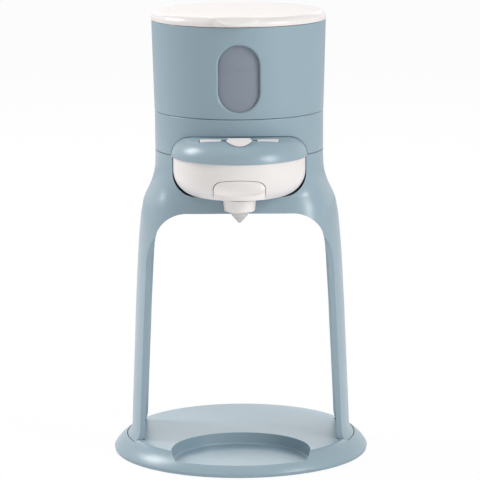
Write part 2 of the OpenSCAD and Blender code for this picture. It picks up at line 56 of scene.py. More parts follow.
# main sizes of the dosing unit and the openings round it, in mm
CAP_REACH = 43.2
CAP_TOP = 212.9
CAP_EDGE = 14.0
CAP_DOME = 400.0
BOWL_REACH = 41.8
BOWL_CORNER = 16.0
BOWL_HOLLOW_CORNER = 14.4
MOUTH_CORNER = 14.4
MOUTH_GAP = 0.55
UNIT_Y = -36.0
SPOUT_Y = -54.0
INLET_Y = -30.0
INLET_REACH = 11.8
COLLAR_LOW = 165.9
MOUTH_DROP = 0.75
ARCH_TOP = 162.3
POST_RING = 45.0
POST_TURNS = (30, 90, 150)
SCREW_SEAT = 163.6
DRAWER_LOW = 177.0
PULL_TOP = 188.5
TAB_MIDDLE = -1.2
WINDOW_Z = 249.1


# ------------------------------------------------------------------ colours
def linear(code):
    """An sRGB hex colour as linear red, green, blue and alpha."""
    parts = [int(code[i:i + 2], 16) / 255 for i in (0, 2, 4)]
    return tuple(c / 12.92 if c <= 0.04045 else ((c + 0.055) / 1.055) ** 2.4
                 for c in parts) + (1.0,)


# ------------------------------------------------------------------ user sizes
class DispenserSizes(bpy.types.PropertyGroup):
    """Sizes of the dressed piece that the frame leaves open."""
    edge_round: bpy.props.FloatProperty(
        name="Edge rounding", description="Radius of the moulded edges",
        default=0.6 * MM, min=0.1 * MM, max=2 * MM, unit="LENGTH")
    seam_round: bpy.props.FloatProperty(
        name="Seam rounding", description="Radius of the edges at the joints of the housing",
        default=0.35 * MM, min=0.1 * MM, max=1 * MM, unit="LENGTH")
    foot_flare: bpy.props.FloatProperty(
        name="Foot flare", description="How far a leg spreads where it meets the base",
        default=2.6 * MM, min=0.0, max=3 * MM, unit="LENGTH")
    scoop_blend: bpy.props.FloatProperty(
        name="Scoop blend", description="Width over which the hollow under the bowl fades out",
        default=20 * MM, min=2 * MM, max=30 * MM, unit="LENGTH")
    base_radius: bpy.props.FloatProperty(
        name="Base radius", description="Radius of the base at its widest line",
        default=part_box("base")[1].x, min=0.07, max=0.11, unit="LENGTH")
    bowl_low: bpy.props.FloatProperty(
        name="Bowl underside", description="Height of the underside of the dosing bowl",
        default=0.1737, min=0.16, max=0.18, unit="LENGTH")


class DispenserFinish(bpy.types.PropertyGroup):
    """Colours of the mouldings."""
    body: bpy.props.FloatVectorProperty(
        name="Body", description="Blue-grey of the base, stand, head, hopper and cap",
        default=linear("97AEBA"), size=4, min=0, max=1, subtype="COLOR")
    white: bpy.props.FloatVectorProperty(
        name="White parts", description="White of the lid, bowl, drawer and spout",
        default=linear("F2EDEB"), size=4, min=0, max=1, subtype="COLOR")
    pane: bpy.props.FloatVectorProperty(
        name="Window", description="Tint of the smoked window",
        default=linear("B0BBC9"), size=4, min=0, max=1, subtype="COLOR")
    floor: bpy.props.FloatVectorProperty(
        name="Floor", description="Colour of the studio floor",
        default=linear("FFFFFF"), size=4, min=0, max=1, subtype="COLOR")


def sizes():
    return bpy.context.scene.dispenser_sizes


def finish_colours():
    return bpy.context.scene.dispenser_finish


# ------------------------------------------------------------------ mesh tools
def nothing_selected():
    """Object mode with nothing selected."""
    if bpy.context.object and bpy.context.object.mode != "OBJECT":
        bpy.ops.object.mode_set(mode="OBJECT")
    bpy.ops.object.select_all(action="DESELECT")


def only(piece):
    """Object mode with just this piece selected."""
    nothing_selected()
    bpy.context.view_layer.objects.active = piece
    piece.select_set(True)


def settled(piece):
    """The piece's place goes into its mesh."""
    only(piece)
    bpy.ops.object.transform_apply(location=True, rotation=True, scale=True)
    return piece


def chain(name, points):
    """An open chain of edges through points in mm, left in edit mode."""
    nothing_selected()
    first = Vector(points[0]) * MM
    bpy.ops.mesh.primitive_plane_add(size=MM, location=first)
    piece = bpy.context.object
    piece.name = name
    bpy.ops.object.transform_apply(location=True, rotation=True, scale=True)
    bpy.ops.object.mode_set(mode="EDIT")
    bpy.ops.mesh.select_mode(type="VERT")
    bpy.ops.mesh.select_all(action="SELECT")
    bpy.ops.mesh.merge(type="CENTER")
    for a, b in zip(points, points[1:]):
        step = (Vector(b) - Vector(a)) * MM
        bpy.ops.mesh.extrude_vertices_move(TRANSFORM_OT_translate={"value": step})
    return piece


def lathe(name, outline, middle=(0, 0), steps=192, closed=True):
    """Spins (radius, height) points in mm round an upright axis."""
    points = [(middle[0] + r, middle[1], z) for r, z in outline]
    if closed and (outline[0][0] > 0 or outline[-1][0] > 0):
        points.append(points[0])
    piece = chain(name, points)
    bpy.ops.mesh.select_all(action="SELECT")
    bpy.ops.mesh.spin(steps=steps, angle=TURN, axis=(0, 0, 1),
                      center=(middle[0] * MM, middle[1] * MM, 0))
    bpy.ops.mesh.select_all(action="SELECT")
    bpy.ops.mesh.remove_doubles(threshold=2e-6)
    bpy.ops.mesh.normals_make_consistent(inside=False)
    bpy.ops.object.mode_set(mode="OBJECT")
    return piece


def drum(name, radius, low, high, middle=(0, 0), steps=192):
    """A round bar on an upright axis, in mm, to cut with or to join on."""
    return lathe(name, [(0, low), (radius, low), (radius, high), (0, high)], middle, steps)


def prism(name, outline, along, near, far):
    """Pushes a flat outline in mm along an axis. The outline's two numbers
    are the other two axes, in order."""
    def place(a, b, c):
        return {"x": (c, a, b), "y": (a, c, b), "z": (a, b, c)}[along]
    points = [place(a, b, near) for a, b in outline]
    piece = chain(name, points + [points[0]])
    bpy.ops.mesh.select_all(action="SELECT")
    bpy.ops.mesh.remove_doubles(threshold=2e-6)
    bpy.ops.mesh.select_all(action="SELECT")
    bpy.ops.mesh.edge_face_add()
    bpy.ops.mesh.extrude_region_move(
        TRANSFORM_OT_translate={"value": Vector(place(0, 0, far - near)) * MM})
    bpy.ops.mesh.select_all(action="SELECT")
    bpy.ops.mesh.normals_make_consistent(inside=False)
    bpy.ops.object.mode_set(mode="OBJECT")
    return piece


def block(name, low, high):
    """A box between two corners in mm, to cut with or to join on."""
    nothing_selected()
    low, high = Vector(low), Vector(high)
    bpy.ops.mesh.primitive_cube_add(size=1, location=(low + high) / 2 * MM,
                                    scale=(high - low) * MM)
    piece = bpy.context.object
    piece.name = name
    return settled(piece)


def rounded(corners, closed=False, steps=6):
    """Points of an outline whose corners (a, b, radius) are turned into arcs."""
    out = []
    last = len(corners) - 1
    for i, (a, b, radius) in enumerate(corners):
        if radius == 0 or (not closed and i in (0, last)):
            out.append((a, b))
            continue
        here = Vector((a, b))
        back = (Vector(corners[i - 1][:2]) - here).normalized()
        on = (Vector(corners[(i + 1) % len(corners)][:2]) - here).normalized()
        half = back.angle(on) / 2
        centre = here + (back + on).normalized() * radius / math.sin(half)
        arm = here + back * radius / math.tan(half) - centre
        end = here + on * radius / math.tan(half) - centre
        turn = math.atan2(arm.x * end.y - arm.y * end.x, arm.dot(end))
        for k in range(steps + 1):
            t = turn * k / steps
            out.append((centre.x + arm.x * math.cos(t) - arm.y * math.sin(t),
                        centre.y + arm.x * math.sin(t) + arm.y * math.cos(t)))
    return out


def arc(a, b, radius, start, end, steps=12):
    """Points of an arc in mm, angles in degrees."""
    return [(a + radius * math.cos(math.radians(start + (end - start) * k / steps)),
             b + radius * math.sin(math.radians(start + (end - start) * k / steps)))
            for k in range(steps + 1)]


def flowing(points, pieces=4):
    """A smooth curve through points (height rising), by cubic pieces."""
    out = []
    for i in range(len(points) - 1):
        p0 = Vector(points[max(i - 1, 0)])
        p1, p2 = Vector(points[i]), Vector(points[i + 1])
        p3 = Vector(points[min(i + 2, len(points) - 1)])
        for k in range(pieces):
            t = k / pieces
            out.append(tuple(0.5 * (2 * p1 + (p2 - p0) * t
                       + (2 * p0 - 5 * p1 + 4 * p2 - p3) * t * t
                       + (3 * p1 - p0 - 3 * p2 + p3) * t ** 3)))
    out.append(points[-1])
    return out


def boolean(piece, tool, action="DIFFERENCE"):
    """Cuts, joins or crosses a piece with a tool, and throws the tool away."""
    only(piece)
    step = piece.modifiers.new("shape", "BOOLEAN")
    step.operation = action
    step.solver = "EXACT"
    step.object = tool
    bpy.ops.object.modifier_apply(modifier=step.name)
    bpy.data.objects.remove(tool)
    return piece


def merged(piece):
    """Joins corners that a cut left twice."""
    only(piece)
    bpy.ops.object.mode_set(mode="EDIT")
    bpy.ops.mesh.select_all(action="SELECT")
    bpy.ops.mesh.remove_doubles(threshold=4e-6)
    bpy.ops.mesh.dissolve_degenerate(threshold=4e-6)
    bpy.ops.object.mode_set(mode="OBJECT")
    return piece


def round_edges(piece, width, steps=3, sharper=32):
    """Rounds every edge that turns by more than an angle in degrees."""
    merged(piece)
    step = piece.modifiers.new("round", "BEVEL")
    step.limit_method = "ANGLE"
    step.angle_limit = math.radians(sharper)
    step.width = width
    step.segments = steps
    step.miter_outer = "MITER_ARC"
    step.use_clamp_overlap = True
    bpy.ops.object.modifier_apply(modifier=step.name)
    return piece


def smooth(piece, angle=34):
    """Smooth shading that keeps the edges sharper than an angle in degrees."""
    only(piece)
    bpy.ops.object.shade_smooth_by_angle(angle=math.radians(angle))
    return piece


def weighted(piece):
    """Large faces stay even beside their small rounded edges."""
    only(piece)
    step = piece.modifiers.new("even", "WEIGHTED_NORMAL")
    step.keep_sharp = True
    step.weight = 80
    bpy.ops.object.modifier_apply(modifier=step.name)
    return piece


def painted(piece, finish):
    """The piece's only finish."""
    piece.data.materials.clear()
    piece.data.materials.append(material(finish))
    for face in piece.data.polygons:
        face.material_index = 0


def finished(piece, angle, finish, body, node, even=True):
    """Shading, finish, body and CAD node of a ready piece."""
    smooth(piece, angle)
    if even:
        weighted(piece)
    painted(piece, finish)
    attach(piece, body)
    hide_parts(node)


def dressed(node, finish):
    """A CAD node keeps its shape and gets a better finish."""
    painted(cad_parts[node], finish)


# ------------------------------------------------------------------ materials
MIRROR = 0.6


def add(tree, kind, settings=None, links=None):
    """Adds a shader node, with its settings by name or socket, and its links."""
    node = tree.nodes.new(kind)
    for key, value in (settings or {}).items():
        if isinstance(key, str) and hasattr(node, key):
            setattr(node, key, value)
        else:
            node.inputs[key].default_value = value
    for key, source in (links or {}).items():
        tree.links.new(source, node.inputs[key])
    return node


def new_material(name):
    """An empty node material and its tree, output and Object coordinates."""
    material = bpy.data.materials.new(name)
    material.use_nodes = True
    tree = material.node_tree
    tree.nodes.clear()
    output = add(tree, "ShaderNodeOutputMaterial")
    place = add(tree, "ShaderNodeTexCoord").outputs["Object"]
    return material, tree, output, place


def per_mm(size):
    """Texture scale whose grain is about this size in mm."""
    return 1.0 / (size * MM)


def moulded(name, colour, rough, spread, grain_mm, depth, shade=0.06,
            sheen=0.0, painted_top_shade=0.0):
    """Injection-moulded plastic or rubber: a fine spark-eroded grain, slow
    changes of gloss from the flow of the melt, and a hardly visible change of
    tone. Painted top shade: the faces that look up mirror less by this much, as painted shade."""
    material, tree, output, place = new_material(name)
    flow = add(tree, "ShaderNodeTexNoise",
               {"Scale": per_mm(38), "Detail": 3.0, "Roughness": 0.5},
               {"Vector": place}).outputs["Fac"]
    grain = add(tree, "ShaderNodeTexNoise",
                {"Scale": per_mm(grain_mm), "Detail": 4.0, "Roughness": 0.6},
                {"Vector": place}).outputs["Fac"]
    tone = add(tree, "ShaderNodeMix",
               {"data_type": "RGBA", 6: colour,
                7: tuple(c * (1 - shade) for c in colour[:3]) + (1.0,)},
               {0: flow}).outputs[2]
    if painted_top_shade:
        # painted shade: faces that look up mirror less, so level faces come out darker
        facing = add(tree, "ShaderNodeSeparateXYZ", {},
                     {0: tree.nodes.new("ShaderNodeTexCoord").outputs["Normal"]}).outputs["Z"]
        mirror = add(tree, "ShaderNodeMapRange",
                     {"From Min": 0.6, "From Max": 0.98,
                      "To Min": MIRROR, "To Max": MIRROR - painted_top_shade},
                     {"Value": facing}).outputs["Result"]
    gloss = add(tree, "ShaderNodeMapRange",
                {"From Min": 0.3, "From Max": 0.7,
                 "To Min": rough - spread, "To Max": rough + spread},
                {"Value": flow}).outputs["Result"]
    fine = add(tree, "ShaderNodeMath",
               {"operation": "MULTIPLY_ADD", 1: spread, 2: -spread / 2},
               {0: grain}).outputs[0]
    total = add(tree, "ShaderNodeMath", {"operation": "ADD"},
                {0: gloss, 1: fine}).outputs[0]
    bump = add(tree, "ShaderNodeBump", {"Strength": 0.35, "Distance": depth * MM},
               {"Height": grain}).outputs["Normal"]
    shader = add(tree, "ShaderNodeBsdfPrincipled",
                 {"IOR": 1.53, "Specular IOR Level": MIRROR, "Sheen Weight": sheen},
                 {"Base Color": tone, "Roughness": total, "Normal": bump})
    if painted_top_shade:
        tree.links.new(mirror, shader.inputs["Specular IOR Level"])
    tree.links.new(shader.outputs[0], output.inputs[0])
    return material


def clear_plastic(name, colour, rough, through, grain_mm, depth):
    """Clear or frosted plastic, with faint moulding waves."""
    material, tree, output, place = new_material(name)
    waves = add(tree, "ShaderNodeTexNoise",
                {"Scale": per_mm(grain_mm), "Detail": 2.0, "Roughness": 0.5},
                {"Vector": place}).outputs["Fac"]
    gloss = add(tree, "ShaderNodeMapRange",
                {"To Min": rough * 0.8, "To Max": rough * 1.2},
                {"Value": waves}).outputs["Result"]
    bump = add(tree, "ShaderNodeBump", {"Strength": 0.25, "Distance": depth * MM},
               {"Height": waves}).outputs["Normal"]
    shader = add(tree, "ShaderNodeBsdfPrincipled",
                 {"Base Color": colour, "IOR": 1.49, "Transmission Weight": through},
                 {"Roughness": gloss, "Normal": bump})
    tree.links.new(shader.outputs[0], output.inputs[0])
    return material


def drawn_metal(name, colour, rough, line_mm):
    """Plated or ground steel with fine marks along the turning direction."""
    material, tree, output, place = new_material(name)
    stretched = add(tree, "ShaderNodeMapping", {"Scale": (1.0, 1.0, 14.0)},
                    {"Vector": place}).outputs["Vector"]
    marks = add(tree, "ShaderNodeTexNoise",
                {"Scale": per_mm(line_mm) / 14, "Detail": 5.0, "Roughness": 0.6},
                {"Vector": stretched}).outputs["Fac"]
    gloss = add(tree, "ShaderNodeMapRange",
                {"To Min": rough * 0.6, "To Max": rough * 1.4},
                {"Value": marks}).outputs["Result"]
    bump = add(tree, "ShaderNodeBump", {"Strength": 0.2, "Distance": 0.01 * MM},
               {"Height": marks}).outputs["Normal"]
    shader = add(tree, "ShaderNodeBsdfPrincipled",
                 {"Base Color": colour, "Metallic": 1.0},
                 {"Roughness": gloss, "Normal": bump})
    tree.links.new(shader.outputs[0], output.inputs[0])
    return material


MATERIALS = {}


def material(key):
    """The named finish, made the first time it is asked for."""
    if key in MATERIALS:
        return MATERIALS[key]
    colours = finish_colours()
    body, white, pane = tuple(colours.body), tuple(colours.white), tuple(colours.pane)
    makers = {
        # moulded ABS from a fine-grained mould: satin, with soft broad highlights
        "body": lambda: moulded("blue_grey_moulded_ABS", body, 0.31, 0.03, 0.45, 0.010),
        # the same ABS in white, a little glossier, with painted shade: faces that lie level
        # mirror less
        "white": lambda: moulded("white_moulded_ABS", white, 0.30, 0.03, 0.45, 0.008,
                                 shade=0.02, painted_top_shade=0.58),
        # textured ABS of the underside: coarse matt grain
        "cover": lambda: moulded("grey_textured_ABS", linear("6E7C84"), 0.62, 0.05, 0.8, 0.05),
        # moulded thermoplastic rubber of the feet: matt, slightly dusty
        "foot": lambda: moulded("black_moulded_rubber", linear("2B2D30"), 0.78, 0.06, 0.6, 0.04,
                                shade=0.15),
        # soft silicone of the seals: pale, silky
        "silicone": lambda: moulded("pale_moulded_silicone", linear("D4D7D9"), 0.5, 0.05, 0.7,
                                    0.01, shade=0.04, sheen=0.15),
        # grey silicone of the slit tip
        "tip": lambda: moulded("grey_moulded_silicone", linear("CFD0D0"), 0.45, 0.05, 0.6,
                               0.008, shade=0.06, sheen=0.1),
        # turned acetal: dark, waxy
        "acetal": lambda: moulded("black_turned_acetal", linear("2A2A2C"), 0.4, 0.05, 0.3,
                                  0.01, shade=0.1),
        # smoked clear styrene pane: polished outside, darkens what is behind it
        "pane": lambda: clear_plastic("smoked_polished_styrene", pane, 0.24, 0.45, 12.0, 0.01),
        # frosted polypropylene of the tank: milky, soft
        "tank": lambda: clear_plastic("frosted_polypropylene", linear("DCE3E7"), 0.42, 0.55,
                                      1.2, 0.02),
        # zinc-plated screws
        "screw": lambda: drawn_metal("zinc_plated_steel", linear("B8BABC"), 0.32, 0.15),
        # ground stainless shaft
        "shaft": lambda: drawn_metal("ground_stainless_steel", linear("C4C3C0"), 0.22, 0.1),
    }
    MATERIALS[key] = makers[key]()
    return MATERIALS[key]


# ------------------------------------------------------------------ base
def rim_outline():
    """Half outline of the base, in mm, with its sloping rim as an arc."""
    wide = sizes().base_radius / MM
    flat, top, low, curve = 72.0, 12.0, 2.6, 21.0
    cx, cz = wide - flat, top - low
    half = math.hypot(cx, cz) / 2
    back = math.sqrt(curve ** 2 - half ** 2)
    ox = (flat + wide) / 2 - back * cz / (2 * half)
    oz = (top + low) / 2 - back * cx / (2 * half)
    a0 = math.degrees(math.atan2(low - oz, wide - ox))
    a1 = math.degrees(math.atan2(top - oz, flat - ox))
    sweep = arc(ox, oz, curve, a0, a1, 18)
    crease = sweep[-1]
    slope = sweep[-2]
    # the crease between the rim and the flat top is softened
    soft = rounded([(slope[0], slope[1], 0), (crease[0], crease[1], 1.6),
                    (crease[0] - 4, crease[1], 0)], steps=4)
    under = rounded([(78.5, 2.9, 0), (78.5, 0.4, 0.2), (wide - 0.5, 0.4, 0.35),
                     (wide, low, 0)], steps=3)
    return [(0, 2.9)] + under[:-1] + sweep[:-2] + soft + [(60, top), (0, top)]


def dish_cutter(floor, grow=0.0):
    """The space of the bottle dish: a round pocket with a soft foot, held
    back by the low lip at the front."""
    pocket = lathe("dish_space", rounded(
        [(0, floor, 0), (43.4 + grow, floor, 1.2), (44.6 + grow, 16, 0), (0, 16, 0)],
        steps=5), middle=(0, -53.4), steps=256)
    lip = lathe("lip_space", rounded(
        [(0, 0, 0), (78.4, 0, 0), (79.2, 20, 0), (0, 20, 0)]), steps=256)
    return boolean(pocket, lip, "INTERSECT")


class DISPENSER_OT_base(bpy.types.Operator):
    """Round base with its sloping rim, bottle dish and seats for the legs"""
    bl_idname = "dispenser.base"
    bl_label = "Base"

    def execute(self, context):
        base = lathe("base_shell", rim_outline(), steps=256)
        boolean(base, dish_cutter(4.5))
        round_edges(base, 0.7 * MM, 3, 40)
        for side in (-1, 1):
            # seat of one foot, with a fine joint line round it
            seat = lathe("seat", [(67.8, 3.0), (74.4, 3.0), (74.4, 20), (67.8, 20)], steps=256)
            near = block("near", (min(side * 50, side * 90), -28.4, 2),
                         (max(side * 50, side * 90), 28.9, 30))
            boolean(seat, near, "INTERSECT")
            boolean(base, seat)
        finished(base, 36, "body", "stand", "base")
        return {"FINISHED"}


class DISPENSER_OT_underside(bpy.types.Operator):
    """Finish of the bottom plate, the feet and the screws"""
    bl_idname = "dispenser.underside"
    bl_label = "Underside"

    def execute(self, context):
        dressed("base_cover", "cover")
        dressed("rubber_feet", "foot")
        dressed("screws", "screw")
        return {"FINISHED"}


# ------------------------------------------------------------------ stand
STAND_SIDE = [(70.75, 19.0), (70.4, 29.0), (69.75, 45.0), (69.1, 61.0), (68.4, 77.0),
              (67.8, 93.0), (67.0, 109.0), (66.2, 125.0), (65.1, 141.0), (64.4, 149.0),
              (63.65, 156.5), (63.0, 160.0), (62.2, 164.5), (60.8, 168.5), (58.95, 172.5),
              (57.1, 176.5), (55.7, 180.5), (54.75, 184.5), (54.25, 188.5),
              (54.05, 193.0), (54.0, 198.2)]


def scooped(x, y, z, depth=0.0):
    """Where the front wall of the stand lies once the nearly flat wall under
    the bowl is pressed in, in mm."""
    if y > 0:
        return y
    blend = sizes().scoop_blend / MM
    radius = 300.0 + (z - ARCH_TOP) * 0.34
    hollow = -342.9 + math.sqrt(radius ** 2 - x * x) + depth
    apart = abs(y - hollow)
    bump = max(blend - apart, 0) / blend
    return max(y, hollow) + bump * bump * blend / 4


def press_scoop(piece, depth=0.0):
    """Moves the front wall in, fading out upwards beside the bowl."""
    for vertex in piece.data.vertices:
        x, y, z = vertex.co / MM
        fade = min(max((186.0 - z) / 14.0, 0.0), 1.0)
        fade = fade * fade * (3 - 2 * fade)
        vertex.co.y += (scooped(x, y, z, depth) - y) * fade * MM


def side_profile(inset=0.0):
    """Outer half outline of the stand in mm, with the spread of the foot."""
    flare = sizes().foot_flare / MM
    foot = [(71.3 + flare, 10.8), (71.2 + 0.62 * flare, 11.7), (71.1 + 0.34 * flare, 12.8),
            (71.0 + 0.12 * flare, 14.6), (70.9, 16.8)]
    smooth_side = foot + flowing(STAND_SIDE, 5)
    return [(r - inset, z) for r, z in smooth_side]


def mouth_outline(gap):
    """Front outline of the opening for the bowl, in mm."""
    low = sizes().bowl_low / MM - MOUTH_DROP
    flat, corner = BOWL_REACH - MOUTH_CORNER, MOUTH_CORNER
    right = arc(flat, low + corner, corner + gap, 270, 360, 14)
    left = [(-x, z) for x, z in reversed(right)]
    return left + right + [(BOWL_REACH + gap, 230), (-BOWL_REACH - gap, 230)]


def arch_outline():
    """Front outline of the arch between the legs, in mm."""
    half, top, corner = 54.3, ARCH_TOP, 21.0
    return ([(-half, -5), (half, -5)]
            + arc(half - corner, top - corner, corner, 0, 90, 16)
            + arc(corner - half, top - corner, corner, 90, 180, 16))


def post_places():
    """Where the three posts of the head and their screws stand, in mm."""
    turns = [math.radians(turn) for turn in POST_TURNS]
    return [(POST_RING * math.cos(turn), POST_RING * math.sin(turn)) for turn in turns]


def trim_outline(edge, sign):
    """Side outline of the space in front of or behind the legs, in mm."""
    curve = arc(edge + 22, 129, 22, 180, 90, 12)
    points = [(edge, -5)] + curve + [(120, 151), (120, -5)]
    return [(sign * a, b) for a, b in points]


class DISPENSER_OT_stand(bpy.types.Operator):
    """Two legs and the stand head as one shell, with the arch, the hollow
    under the bowl and the opening for it"""
    bl_idname = "dispenser.stand"
    bl_label = "Stand"

    def execute(self, context):
        stand = lathe("stand_shell", side_profile(), steps=288, closed=False)
        press_scoop(stand)
        only(stand)
        wall = stand.modifiers.new("wall", "SOLIDIFY")
        wall.thickness = 3 * MM
        wall.offset = -1
        wall.use_even_offset = True
        bpy.ops.object.modifier_apply(modifier=wall.name)
        boolean(stand, prism("arch", arch_outline(), "y", -100, 100))
        boolean(stand, prism("front_space", trim_outline(28.0, -1), "x", -100, 100))
        boolean(stand, prism("rear_space", trim_outline(28.5, 1), "x", -100, 100))
        boolean(stand, prism("bowl_space", mouth_outline(MOUTH_GAP), "y", -110, -20))
        # underside of the head, with the two ribs under the bowl
        plate = lathe("head_floor", [(0, ARCH_TOP), (61.6, ARCH_TOP), (61.0, 164.8),
                                     (0, 164.8)], steps=288)
        press_scoop(plate, 1.5)
        boolean(stand, plate, "UNION")
        for side in (-1, 1):
            rib = block("rib", (side * 21 - 1, -36.5, 164.2), (side * 21 + 1, 0, 173.5))
            boolean(stand, rib, "UNION")
        merged(stand)
        for place in post_places():
            hole = lathe("screw_hole", [(0, 160), (3.0, 160), (3.0, SCREW_SEAT),
                                        (1.6, SCREW_SEAT), (1.6, 168), (0, 168)],
                         middle=place, steps=48)
            boolean(stand, hole)
        round_edges(stand, sizes().edge_round, 3, 38)
        finished(stand, 36, "body", "stand", "stand_frame")
        return {"FINISHED"}


# ------------------------------------------------------------------ head
def cap_side(gap=0.0, low=199.0):
    """Half outline of the bowl's cap in mm, from its edge to the axis: a
    rounded edge that runs smoothly into a low dome."""
    edge_x = CAP_REACH - CAP_EDGE
    centre_z = CAP_TOP - CAP_DOME
    edge_z = centre_z + math.sqrt((CAP_DOME - CAP_EDGE) ** 2 - edge_x ** 2)
    meet = math.degrees(math.atan2(edge_z - centre_z, edge_x))
    start = math.degrees(math.asin(max(low - edge_z, 0) / (CAP_EDGE + gap)))
    points = arc(edge_x, edge_z, CAP_EDGE + gap, start, meet, 24)
    points += arc(0, centre_z, CAP_DOME + gap, meet, 90, 10)[1:]
    if low < edge_z:
        points = [(CAP_REACH + gap, low)] + points
    return points


def tunnel_outline():
    """Front outline of the way out for the dosing unit, in mm."""
    half = BOWL_REACH + MOUTH_GAP
    right = cap_side(0.18, 195.0)
    left = [(-x, z) for x, z in reversed(right[:-1])]
    return [(half, 180), (half, 195.0)] + right + left + [(-half, 195.0), (-half, 180)]


class DISPENSER_OT_head(bpy.types.Operator):
    """Head housing: the blue ring over the neck joint, with the deck, the
    powder inlet and the shaft bearing inside"""
    bl_idname = "dispenser.head"
    bl_label = "Head housing"

    def execute(self, context):
        head = lathe("head_ring", rounded(
            [(51.2, 198.55, 0.2), (54.0, 198.55, 0.3), (54.1, 223.55, 0.9), (51.3, 223.55, 0.3)],
            closed=True, steps=3), steps=256)
        deck = lathe("deck", rounded([(0, 217.2, 0), (52.0, 217.2, 0), (52.0, 220, 0),
                                      (0, 220, 0)]), steps=192)
        boolean(head, deck, "UNION")
        boolean(head, lathe("bearing", rounded(
            [(0, 212, 0), (6.5, 212, 0.5), (6.5, 221.5, 0.5), (0, 221.5, 0)], steps=3),
            steps=96), "UNION")
        spigot = lathe("spigot", [(49.0, 190.0), (50.9, 190.0), (50.9, 198.7), (52.0, 198.7),
                                  (52.0, 200.9), (49.0, 200.9)], steps=192)
        boolean(head, spigot, "UNION")
        for place in post_places():
            post = lathe("post", [(0, 165.0), (3.6, 165.0), (3.9, 217.6), (0, 217.6)],
                         middle=place, steps=48)
            boolean(head, post, "UNION")
        boolean(head, prism("tunnel", tunnel_outline(), "y", -85, -8))
        boolean(head, drum("inlet", 12.4, 210, 225, middle=(0, INLET_Y), steps=96))
        boolean(head, drum("shaft_bore", 3.05, 210, 225, steps=64))
        round_edges(head, sizes().seam_round, 2, 38)
        finished(head, 36, "body", "stand", "head_housing")
        dressed("inlet_seal", "silicone")
        return {"FINISHED"}


# ------------------------------------------------------------------ hopper
def stadium(width, height, middle, steps=24):
    """Upright outline with round ends, in mm."""
    reach = (height - width) / 2
    return (arc(0, middle + reach, width / 2, 0, 180, steps)
            + arc(0, middle - reach, width / 2, 180, 360, steps))


def window_chamfer():
    """Tool for the bright chamfer round the sight opening, bent to follow the
    curve of the sleeve."""
    middle, half, radius, width = WINDOW_Z, 8.2, 13.1, 0.9
    outline = stadium(2 * radius + 2, 2 * radius + 2 * half + 2, middle)
    tool = prism("chamfer_tool", outline, "y", -1.0, 1.3)
    for vertex in tool.data.vertices:
        x, y, z = vertex.co / MM
        line = min(max(z, middle - half), middle + half)
        reach = math.hypot(x, z - line)
        grown = (radius + width - y) / reach
        x, z = x * grown, line + (z - line) * grown
        sleeve = 54.2 + (z - 223.75) * 1.6 / 57.65
        vertex.co = Vector((x, y - math.sqrt(sleeve ** 2 - x * x), z)) * MM
    return tool


class DISPENSER_OT_hopper(bpy.types.Operator):
    """Outer sleeve of the hopper with the chamfered sight opening"""
    bl_idname = "dispenser.hopper"
    bl_label = "Hopper sleeve"

    def execute(self, context):
        sleeve = lathe("hopper_shell", rounded(
            [(49.6, 223.8, 0), (54.2, 223.75, 0.25), (55.8, 281.4, 0.35), (53.4, 281.4, 0.3),
             (53.4, 276.6, 0), (52.1, 275.9, 0), (49.6, 275.9, 0), (49.6, 274.4, 0),
             (52.1, 274.4, 0), (52.1, 225.4, 0), (49.6, 225.4, 0)],
            closed=True, steps=3), steps=256)
        boolean(sleeve, prism("window_space", stadium(26.2, 42.6, WINDOW_Z), "y", -80, -30))
        boolean(sleeve, window_chamfer())
        round_edges(sleeve, 0.3 * MM, 2, 38)
        finished(sleeve, 34, "body", "hopper", "hopper_sleeve")
        return {"FINISHED"}


class DISPENSER_OT_window(bpy.types.Operator):
    """Curved sight pane with its fine level line"""
    bl_idname = "dispenser.window"
    bl_label = "Window pane"

    def execute(self, context):
        pane = lathe("sight_pane", [(50.4, 226.0), (52.0, 226.0), (52.0, 272.3), (50.4, 272.3)],
                     steps=256)
        # the level line is a shallow groove
        groove = lathe("level_line", [(51.82, 254.35), (53, 254.35), (53, 254.65),
                                      (51.82, 254.65)], steps=256)
        boolean(pane, groove)
        boolean(pane, prism("pane_edge", stadium(29.6, 46.0, 249.2), "y", -80, -30), "INTERSECT")
        finished(pane, 30, "pane", "hopper", "window_pane", even=False)
        return {"FINISHED"}


class DISPENSER_OT_tank(bpy.types.Operator):
    """Finish of the tank and its bush"""
    bl_idname = "dispenser.tank"
    bl_label = "Powder tank"

    def execute(self, context):
        dressed("powder_tank", "tank")
        dressed("tank_bush", "acetal")
        return {"FINISHED"}


class DISPENSER_OT_stirrer(bpy.types.Operator):
    """Finish of the stirrer and of what drives it"""
    bl_idname = "dispenser.stirrer"
    bl_label = "Stirrer and drive"

    def execute(self, context):
        dressed("agitator", "white")
        dressed("drive_shaft", "shaft")
        dressed("drive_roller", "foot")
        dressed("shaft_clip", "acetal")
        return {"FINISHED"}


